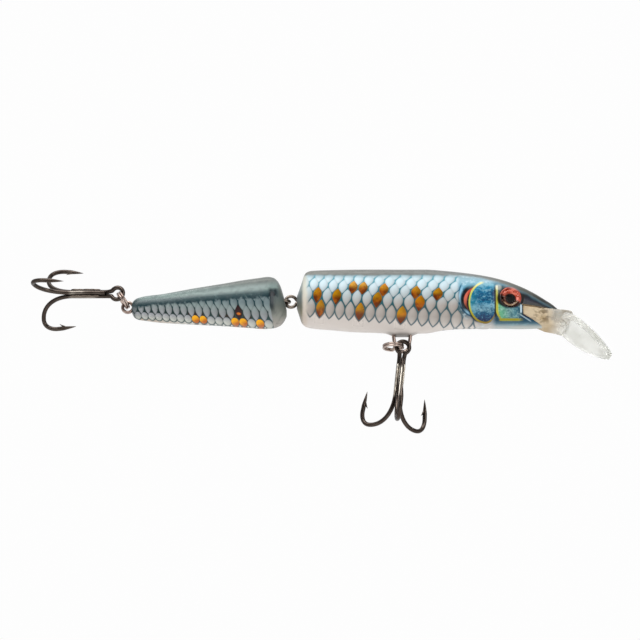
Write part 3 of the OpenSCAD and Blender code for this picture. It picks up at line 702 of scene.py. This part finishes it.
def shell_points(x, top, bot, wid, half, inset, relief, a):
    zt, zb = pchip(*zip(*top), x) - inset, pchip(*zip(*bot), x) + inset
    w = np.maximum(pchip(*zip(*wid), x) * half - inset, 0.12)
    c, h = (zt + zb) / 2, np.maximum((zt - zb) / 2, 0.12)
    ca, sa = np.cos(a), np.sin(a)
    Y = -w[:, None] * (np.sign(ca) * np.abs(ca)**POWER)[None]
    Z = c[:, None] + h[:, None] * (np.sign(sa) * np.abs(sa)**POWER)[None]
    X = np.repeat(x[:, None], len(a), 1)
    if relief is not None:
        d = relief(X, Y, Z) * np.abs(ca)[None]**0.3
        ny, nz = Y / (w[:, None]**2), (Z - c[:, None]) / (h[:, None]**2)
        ln = np.hypot(ny, nz) + 1e-9
        Y, Z = Y + d * ny / ln, Z + d * nz / ln
    return np.stack([X, Y, Z], -1)


def loft(name, P, mat, closed_ring):
    m, n = P.shape[:2]
    v = P.reshape(-1, 3).tolist()
    f = []
    for i in range(m - 1):
        for k in range(n if closed_ring else n - 1):
            l = (k + 1) % n
            f.append((i * n + k, (i + 1) * n + k, (i + 1) * n + l, i * n + l))
        if not closed_ring:
            f.append((i * n + n - 1, (i + 1) * n + n - 1, (i + 1) * n, i * n))
    f.append(tuple(range(n)))
    f.append(tuple(reversed(range((m - 1) * n, m * n))))
    return make(name, v, f, mat, fix=False)


def half_body(name, x_out, x_in, top, bot, wid, half, relief, mat, cuts):
    a = np.radians(np.linspace(-90, 90, 67))
    P = shell_points(x_out, top, bot, wid, half, 0.0, relief, a)
    P[..., 1] = np.minimum(P[..., 1], -0.01)
    ob = loft(name, P, mat, False)
    bm = bmesh.new(); bm.from_mesh(ob.data)
    bmesh.ops.recalc_face_normals(bm, faces=bm.faces)
    bm.to_mesh(ob.data); bm.free()
    a = np.radians(np.linspace(-180, 180, 49)[:-1])
    inner = loft("inner", shell_points(x_in, top, bot, wid, half, WALL, None, a), mat, True)
    tidy(inner)
    boolean(ob, inner)
    for c in cuts:
        boolean(ob, c)
    return tidy(ob, 32)


def stations(*spans):
    out = []
    for a, b, step in spans:
        out.append(np.linspace(a, b, max(2, int(round((b - a) / step))), endpoint=False))
    return np.concatenate(out + [np.array([spans[-1][1]])])


M_FRONT, M_TAIL, M_MOUTH = front_paint(), tail_paint(), mouth_mat()
M_NICKEL = wire_metal("pinkish_nickel_wire", "#8d7a72", "#b9a79c", 0.22, "#6c564c")
M_RING = wire_metal("pinkish_nickel_rings", "#8f7d75", "#c2b2a8", 0.18, "#6c564c")
# solder smeared along the shanks
M_HOOK_BELLY = wire_metal("black_nickel_belly", "#3d3530", "#4f4741", 0.20, "#332b27", smear=(
    (520, 520, 60), lambda m, x, y, z: m.band(z, -25.5, -16.5, 0.8) * (1 - m.smooth((x + 50.2).abs(), 2.2, 3.0))))
M_HOOK_TAIL = wire_metal("black_nickel_tail", "#3d3530", "#4f4741", 0.20, "#332b27", smear=(
    (60, 520, 520), lambda m, x, y, z: m.band(x, -151.5, -143.0, 0.8) * (1 - m.smooth((z - 7.2).abs(), 1.8, 2.4)) * 0.28))
M_JOINT = wire_metal("steel_joint_wire", "#6d645c", "#978b80", 0.22, "#4a413a")
M_BRAZE = wire_metal("bright_braze", "#a89d8f", "#cfc8bb", 0.28)
# a darker copy of the braze colour, used for the tail treble's bead
M_BRAZE_DARK = wire_metal("darker_braze", "#4c433c", "#6f645a", 0.28)
M_LIP, M_EYE, M_DOME = clear_lip_mat(), eye_mat(), dome_mat()

EYE = (-15.8, 4.4)
mouth = [[-12.22,2.62],[-1.5,1.53],[4,1],[4,-8],[-4.92,-8],[-4.92,-3.82],[-11.82,-0.48]]
x_front = stations((-81.2, -76.5, 0.22), (-76.5, -34, 0.9), (-34, -9, 0.2), (-9, -1, 0.3))
half_front = half_body(
    "painted_front_right", x_front, stations((-79.3, -74, 0.4), (-74, -12, 1.2), (-12, -4.6, 0.7)), FT, FB, FW, 7.5,
    front_relief, M_FRONT, [
        prism("mouth", mouth, -10, 10, M_MOUTH),
        rod("slot", (-83, -0.55, 4.9), (-83, 0.55, 4.9), 2.3, M_FRONT, 40),
        rod("shank", (-83, 0, 4.9), (-70.5, 0, 4.9), 0.53, M_FRONT),
        rod("leg1", (-48.9 - 2.25, 0, -9.5), (-48.9 - 2.25, 0, -2.0), 0.6, M_FRONT),
        rod("leg2", (-48.9 + 2.25, 0, -9.5), (-48.9 + 2.25, 0, -2.0), 0.6, M_FRONT),
        rod("socket", (EYE[0], -4.6, EYE[1]), (EYE[0], -9, EYE[1]), 3.1, M_FRONT, 64),
    ])
x_tail = stations((-131.9, -128, 0.2), (-128, -91, 0.8), (-91, -84.3, 0.18))
half_tail = half_body(
    "painted_tail_right", x_tail, stations((-129.6, -126, 0.6), (-126, -90, 1.4), (-90, -87.0, 0.5)), TT, TB, TW, 6.4,
    None, M_TAIL, [
        rod("pivot", (-84.75, 0, 2.1), (-84.75, 0, 7.7), 1.35, M_TAIL, 40),
        rod("seat", (-85.2, 0, 4.35), (-85.2, 0, 5.45), 2.3, M_TAIL, 40),
        rod("shank2", (-85.2, 0, 4.9), (-96.5, 0, 4.9), 0.53, M_TAIL),
        rod("hookseat", (-133.2, -0.55, 3.1), (-133.2, 0.55, 3.1), 2.15, M_TAIL, 40),
        rod("hookshank", (-133.2, 0, 3.1), (-122, 0, 3.1), 0.53, M_TAIL),
    ])
place(half_front, "front", "painted_shell", "front_shell_right")
place(mirrored(half_front, "painted_front_left"), "front", "painted_shell", "front_shell_left")
place(half_tail, "tail", "painted_shell", "tail_shell_right")
place(mirrored(half_tail, "painted_tail_left"), "tail", "painted_shell", "tail_shell_left")


# ------------------------------------------------------------------ diving lip
def lip():
    xs = stations((-12.0, -10.5, 0.12), (-10.5, 2.0, 0.5), (2.0, 3.45, 0.12))
    zt = pchip([-12.2, -1.5, 2.6, 3.6], [2.6, 1.5, 0.4, -0.6], xs)
    zb = np.interp(xs, [-12.2, -11.8, -4.9, 0.6, 3.6], [2.5, -0.45, -3.8, -4.8, -0.65])
    w = np.interp(xs, [-12.2, -6, -2, 1, 4], [5.1, 4.2, 4.5, 5.6, 6.6])
    w *= np.sqrt(np.clip((xs + 12.6) / 0.8, 0.2, 1)) * np.sqrt(np.clip((3.9 - xs) / 1.0, 0.3, 1))
    a = np.radians(np.arange(0, 360, 6))
    e = 0.28
    Y = w[:, None] * (np.sign(np.cos(a)) * np.abs(np.cos(a))**e)[None]
    Z = ((zt + zb) / 2)[:, None] + ((zt - zb) / 2)[:, None] * (np.sign(np.sin(a)) * np.abs(np.sin(a))**e)[None]
    wedge = tidy(loft("clear_lip", np.stack([np.repeat(xs[:, None], len(a), 1), Y, Z], -1), M_LIP, True), 40)
    # cupped blade with rounded edges
    s = np.concatenate([np.linspace(-0.6, 16, 60), np.linspace(16.15, 18.2, 22)])
    wid = pchip([-.6, 1, 3, 5, 8, 11, 14, 16, 17.4, 18.2], [7.4, 9.4, 10.7, 11, 10.4, 8.9, 6.6, 4.5, 2.5, 0.9], s)
    out = np.array([(a_, b_) for a_, b_ in zip(s, wid)] + [(a_, -b_) for a_, b_ in zip(s[::-1], wid[::-1])])
    cen = np.array([7.0, 0.0])
    rings = [(1.0, 0.35), (0.994, 0.62), (0.982, 0.84), (0.962, 0.96), (0.935, 1.0), (0.88, 1.0), (0.8, 0.93), (0.65, 0.86), (0.45, 0.80), (0.2, 0.78)]
    n = len(out)
    layers = [(k, z) for k, z in reversed(rings)] + [(k, -min(z, 1.0) if k > 0.9 else -1.0) for k, z in rings]
    v = []
    t = math.radians(38)
    for k, z in layers:
        q = cen + (out - cen) * k
        for sx, wy in q:
            v.append((0.6 + sx * math.cos(t) + z * math.sin(t), wy, -1.6 - sx * math.sin(t) + z * math.cos(t)))
    f = []
    for i in range(len(layers) - 1):
        for k in range(n):
            l = (k + 1) % n
            f.append((i * n + k, i * n + l, (i + 1) * n + l, (i + 1) * n + k))
    f += [tuple(range(n - 1, -1, -1)), tuple((len(layers) - 1) * n + k for k in range(n))]
    blade = make("blade", v, f, M_LIP)
    boolean(wedge, blade, "UNION")
    slot_box = prism("tie_slot", [(-2.2, -2.2), (6.8, -2.2), (6.8, 6.8), (-2.2, 6.8)], -0.9, 0.9, M_LIP)
    boolean(wedge, slot_box)
    boolean(wedge, rod("tie_hole", (0, 0, 0), (-10.5, 0, 0), 0.53, M_LIP))
    return tidy(wedge, 30)


place(lip(), "front", "clear_lip", "diving_lip")


# ------------------------------------------------------------------ wire eyes, hanger, rings
def wire_eye(name, centre, r, direction, plane, body, node, shank=8.0, mat=None):
    """a bent wire eye: the shank comes in tangentially and the loop closes on itself"""
    a = np.radians(np.linspace(14, 346, 60))
    loop = np.stack([r * np.cos(a), r * np.sin(a), np.zeros_like(a)], -1)
    loop[:, 2] = np.linspace(-0.03, 0.03, len(a))
    neck = np.array([[r + 0.75, 0.16, 0.02], [r + 0.25, 0.26, 0.0]])
    tail = catmull(np.array([[r + shank - 0.05, 0, 0], [r + 4, 0, 0], [r + 1.6, 0.02, 0], [r + 0.7, 0.14, 0]]), 6)
    path = np.vstack([tail, loop[2:-1], [[r + 0.05, -0.42, 0]], [[r + 0.55, -0.2, 0]]])
    d = np.array(direction, float)
    q = np.array(plane, float)
    n = np.cross(d, q)
    pts = np.array(centre) + path[:, :1] * d + path[:, 1:2] * q + path[:, 2:] * n
    return place(sweep(name, pts, np.full(len(pts), 0.5), mat or M_NICKEL, 16), body, "nickel_wire", node)


wire_eye("line_tie_wire", (0, 0, 0), 1.5, (-1, 0, 0), (0, 0, 1), "front", "line_tie_eye")
wire_eye("front_joint_wire", (-83, 0, 4.9), 1.75, (1, 0, 0), (0, 0, 1), "front", "front_joint_eye", mat=M_JOINT)
wire_eye("tail_joint_wire", (-85.2, 0, 4.9), 1.75, (-1, 0, 0), (0, 1, 0), "tail", "tail_joint_eye", mat=M_JOINT)
wire_eye("tail_hook_wire", (-133.2, 0, 3.1), 1.6, (1, 0, 0), (0, 0, 1), "tail", "tail_hook_eye")

a = np.radians(np.linspace(180, 360, 40))
flare = lambda z: 2.25 + 0.3 * float(ss(z, -8.8, -6.2))
hang = np.vstack([[[-48.9 - flare(z), 0, z] for z in np.linspace(-2.75, -8.7, 16)],
                  np.stack([-48.9 + 2.25 * np.cos(a), np.zeros_like(a), -8.9 + 2.25 * np.sin(a)], -1),
                  [[-48.9 + flare(z), 0, z] for z in np.linspace(-8.7, -2.75, 16)]])
place(sweep("belly_hanger_wire", hang, np.full(len(hang), 0.55), M_NICKEL, 18), "front", "nickel_wire", "belly_hanger")


def ring(name, r, wire_d, place_m, body, node):
    i = np.linspace(0, 1, 150)
    a = np.pi / 2 + 4 * np.pi * i
    z = (wire_d + 0.02) * (2 * i - 1)
    # the coils lie flat and step over one another in a short run opposite the ends
    z = (wire_d * 0.5 + 0.01) * (np.tanh((i - 0.5) * 16)) + (2 * i - 1) * 0.03
    p = np.stack([r * np.cos(a), r * np.sin(a), z], -1)
    p = np.array([(place_m @ Vector(q))[:] for q in p])
    return place(sweep(name, p, np.full(len(p), wire_d / 2), M_RING, 14), body, "split_ring_steel", node)


R = lambda ang, ax: Matrix.Rotation(math.radians(ang), 4, ax)
T = lambda x, y, z: Matrix.Translation((x, y, z))
ring("belly_ring_coil", 3.0, 0.66, T(-51.6, -0.65, -9.7), "belly_ring", "belly_split_ring")
ring("tail_ring_coil", 2.7, 0.66, T((-133.2 - 136.18) / 2, 0, (3.1 + 7.60) / 2) @ R(-123.5, "Y"), "tail_ring", "tail_split_ring")


# ------------------------------------------------------------------ treble hooks
HR, HW = 0.81, 0.675
out_path = np.vstack([
    np.stack([np.full(8, HR), np.linspace(-6, -14.5, 8)], -1),
    bez((HR, -15), (HR + .1, -20.5), (3.6, -24.6), (8.0, -24.6), 26),
    bez((8.0, -24.6), (10.3, -24.6), (11.2, -22.7), (11.1, -20.4), 20),
    catmull([(11.1, -20.4), (10.85, -18.0), (10.5, -15.6), (10.27, -14.05)], 6)])


def turn(p, az):
    c, s = math.cos(math.radians(az)), math.sin(math.radians(az))
    return np.stack([p[:, 0] * c, p[:, 0] * s, p[:, 1]], -1)


def hook_radius():
    r = np.full(len(out_path), HW)
    dist = np.concatenate([[0], np.cumsum(np.hypot(*np.diff(out_path, axis=0).T))])
    left = dist[-1] - dist
    r = HW * np.clip(left / 4.4, 0.035, 1)**0.72
    return r


def barb(az):
    a = np.array([(10.62, -17.0), (10.35, -17.9), (9.98, -18.75), (9.55, -19.45)])
    return sweep_data(turn(a, az), np.array([0.2, 0.30, 0.20, 0.03]), 10)


def moved(parts, m):
    return [(np.array([(m @ Vector(tuple(q)))[:] for q in v]), f) for v, f in parts]


def treble(prefix, az, m, body, tag, mat):
    hr = hook_radius()
    e = np.radians(np.linspace(-62, 242, 44))
    eye = np.stack([1.9 * np.cos(e), np.zeros_like(e), 1.9 * np.sin(e)], -1)
    c = lambda d: [[HR * math.cos(math.radians(d)), HR * math.sin(math.radians(d)), -3.4]]
    join1 = catmull(np.vstack([turn(out_path, az)[:2][::-1], c(az), eye[:2]]), 5)[6:-6]
    join2 = catmull(np.vstack([eye[-2:], c(az + 120), turn(out_path, az + 120)[:2]]), 5)[6:-6]
    p = np.vstack([turn(out_path, az)[::-1], join1, eye, join2, turn(out_path, az + 120)])
    r = np.concatenate([hr[::-1], np.full(len(join1) + len(eye) + len(join2), HW), hr])
    d = [sweep_data(p, r, 16), barb(az), barb(az + 120)]
    place(several(prefix + "_double_hook", moved(d, m), mat), body, "black_nickel", tag + "_double")
    q = np.vstack([[[HR, -3.9]], [[HR, -4.9]], out_path])
    q = turn(q, az - 120)
    d = [sweep_data(q, np.concatenate([[HW, HW], hr]), 16), barb(az - 120)]
    place(several(prefix + "_single_hook", moved(d, m), mat), body, "black_nickel", tag + "_single")
    # solder between the shanks, with a slightly uneven bead
    d = []
    for k, s in enumerate((-1, 1)):
        zz = np.linspace(-15, -5.5, 40)
        b = math.radians(az - 120 + 60 * s)
        wob = 0.30 + 0.05 * np.sin(zz * 2.1 + k * 2) * np.cos(zz * 0.9 + k)
        wob *= np.sqrt(np.clip((zz + 15.25) / 1.2, 0, 1)) * np.sqrt(np.clip((-5.25 - zz) / 1.2, 0, 1))
        pts = np.stack([1.2 * math.cos(b) + 0 * zz, 1.2 * math.sin(b) + 0 * zz, zz], -1)
        d.append(sweep_data(pts, wob, 12))
    place(several(prefix + "_braze_bead", moved(d, m), (M_BRAZE if prefix.startswith("belly") else M_BRAZE_DARK)), body, "braze", tag + "_braze")


treble("belly", 36, T(-48.6, -1.35, -9.7) @ R(6.5, "Y") @ T(0, 0, -0.45), "belly_treble", "belly_treble", M_HOOK_BELLY)
treble("tail", 25, T(-136.18, 0, 7.60) @ R(-15, "Z") @ R(94.5, "Y") @ T(0, 0, -0.45), "tail_treble", "tail_treble", M_HOOK_TAIL)


# ------------------------------------------------------------------ eyes
def disc_of(name, prof, mat, n=72):
    """turned about the eye's axis; prof holds (radius, y)"""
    v, f = [], []
    for r, y in prof:
        for k in range(n):
            t = 2 * math.pi * k / n
            v.append((EYE[0] + r * math.cos(t), y, EYE[1] + r * math.sin(t)))
    for i in range(len(prof) - 1):
        for k in range(n):
            l = (k + 1) % n
            f.append((i * n + k, i * n + l, (i + 1) * n + l, (i + 1) * n + k))
    f += [tuple(range(n)), tuple(reversed(range((len(prof) - 1) * n, len(prof) * n)))]
    return make(name, v, f, mat, 50)


eye = disc_of("printed_eye_right", [(2.9, -4.66), (2.98, -4.75), (2.98, -5.3), (2.9, -5.4), (2.2, -5.42), (1.9, -5.36), (1.7, -5.33), (0.9, -5.34), (0.1, -5.34)], M_EYE)
dome_prof = [(2.9, -5.46), (2.96, -5.5)] + [(3.0 * math.cos(t), -5.47 - 0.60 * math.sin(t)) for t in np.radians(np.linspace(8, 88, 12))]
dome = disc_of("clear_eye_dome_right", dome_prof, M_DOME)
place(eye, "front", "eye_print", "eye_disc_right")
place(mirrored(eye, "printed_eye_left"), "front", "eye_print", "eye_disc_left")
place(dome, "front", "eye_dome", "eye_dome_right")
place(mirrored(dome, "clear_eye_dome_left"), "front", "eye_dome", "eye_dome_left")

for node, mt in (("belly_ballast", inner_mat("lead_ballast", "#6d6f72", "#8b8d8f", 0.5, 0.9)),
                 ("tail_ballast", inner_mat("lead_ballast_tail", "#67696c", "#85878a", 0.5, 0.9)),
                 ("rattle_balls", inner_mat("steel_balls", "#b5b7b9", "#d0d2d4", 0.18, 1.0))):
    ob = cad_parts[node]
    ob.data.materials.clear()
    ob.data.materials.append(mt)


# ------------------------------------------------------------------ floor, light, camera
def stage_mat():
    m = Mat("pale_floor")
    n = m.noise(6, 2.0)
    m.set(color=m.mix(m.smooth(n, 0.3, 0.7), lin("#f4f4f3"), lin("#f9f9f8")), rough=n * 0.05 + 0.7)
    m.bsdf.inputs["Emission Color"].default_value = (1, 1, 1, 1)
    m.bsdf.inputs["Emission Strength"].default_value = 0.16
    return m.mat


fl = []
for i in range(41):
    yb = -20 + 40 * i / 40
    zb = -0.35
    for xb in (-20.0, 20.0):
        fl.append((xb / MM, yb / MM, zb / MM))
floor = make("pale_floor_sweep", fl, [(2 * i, 2 * i + 1, 2 * i + 3, 2 * i + 2) for i in range(40)], stage_mat(), 60, fix=False)

world = bpy.data.worlds.new("studio")
bpy.context.scene.world = world
world.use_nodes = True
wt = world.node_tree
wt.nodes.clear()
wo = wt.nodes.new("ShaderNodeOutputWorld")
bg = wt.nodes.new("ShaderNodeBackground")
bg2 = wt.nodes.new("ShaderNodeBackground")
mixs = wt.nodes.new("ShaderNodeMixShader")
lp = wt.nodes.new("ShaderNodeLightPath")
tcw = wt.nodes.new("ShaderNodeTexCoord")
sep = wt.nodes.new("ShaderNodeSeparateXYZ")
rmp = wt.nodes.new("ShaderNodeValToRGB")
wt.links.new(tcw.outputs["Generated"], sep.inputs[0])
mr = wt.nodes.new("ShaderNodeMapRange")
mr.inputs[1].default_value = -1.0
mr.inputs[2].default_value = 1.0
wt.links.new(sep.outputs[2], mr.inputs[0])
wt.links.new(mr.outputs[0], rmp.inputs[0])
r = rmp.color_ramp
r.elements[0].position, r.elements[0].color = 0.0, (0.55, 0.55, 0.56, 1)
r.elements[1].position, r.elements[1].color = 1.0, (1.0, 1.0, 1.0, 1)
e = r.elements.new(0.47); e.color = (0.38, 0.38, 0.39, 1)
e = r.elements.new(0.62); e.color = (0.62, 0.63, 0.65, 1)
front_dim = wt.nodes.new("ShaderNodeMapRange")
front_dim.interpolation_type = "SMOOTHSTEP"
front_dim.inputs[1].default_value, front_dim.inputs[2].default_value = -0.97, -0.55
front_dim.inputs[3].default_value, front_dim.inputs[4].default_value = 0.12, 1.0
wt.links.new(sep.outputs[1], front_dim.inputs[0])
dim = wt.nodes.new("ShaderNodeVectorMath")
dim.operation = "SCALE"
wt.links.new(rmp.outputs[0], dim.inputs[0])
wt.links.new(front_dim.outputs[0], dim.inputs["Scale"])
wt.links.new(dim.outputs[0], bg.inputs[0])
bg.inputs[1].default_value = 0.95
bg2.inputs[0].default_value = (1, 1, 1, 1)
bg2.inputs[1].default_value = 0.985
seen = wt.nodes.new("ShaderNodeMath")
seen.operation = "MAXIMUM"
wt.links.new(lp.outputs["Is Camera Ray"], seen.inputs[0])
wt.links.new(lp.outputs["Is Transmission Ray"], seen.inputs[1])
wt.links.new(seen.outputs[0], mixs.inputs[0])
wt.links.new(bg.outputs[0], mixs.inputs[1])
wt.links.new(bg2.outputs[0], mixs.inputs[2])
wt.links.new(mixs.outputs[0], wo.inputs[0])


def area(name, loc, size, power, target=(-0.07, 0, 0)):
    ld = bpy.data.lights.new(name, "AREA")
    ld.shape = "RECTANGLE"
    ld.size, ld.size_y = size
    ld.energy = power
    o = bpy.data.objects.new(name, ld)
    bpy.context.scene.collection.objects.link(o)
    o.location = loc
    o.rotation_euler = (Vector(target) - Vector(loc)).to_track_quat("-Z", "Y").to_euler()
    return o


area("key_softbox", (-0.30, -0.50, 0.62), (0.62, 0.42), 4.4)
area("fill_softbox", (0.45, -0.70, 0.25), (0.30, 0.45), 2.1)
area("top_softbox", (-0.05, 0.12, 0.8), (0.8, 0.15), 1.2)

cam = bpy.data.cameras.new("photo_camera")
cam.sensor_width = 36
cam.lens = 164.7
cam.clip_start, cam.clip_end = 0.02, 10
co = bpy.data.objects.new("photo_camera", cam)
bpy.context.scene.collection.objects.link(co)
el = -ELEV
look = Vector((-0.07406, 0, 0)) + Vector((0, math.sin(el) * -1, math.cos(el))) * (-0.00108)
away = Vector((0, -math.cos(el), math.sin(el)))
co.location = look + away * 0.9
co.rotation_euler = (-away).to_track_quat("-Z", "Y").to_euler()
bpy.context.scene.camera = co
bpy.context.scene.view_settings.view_transform = "Standard"
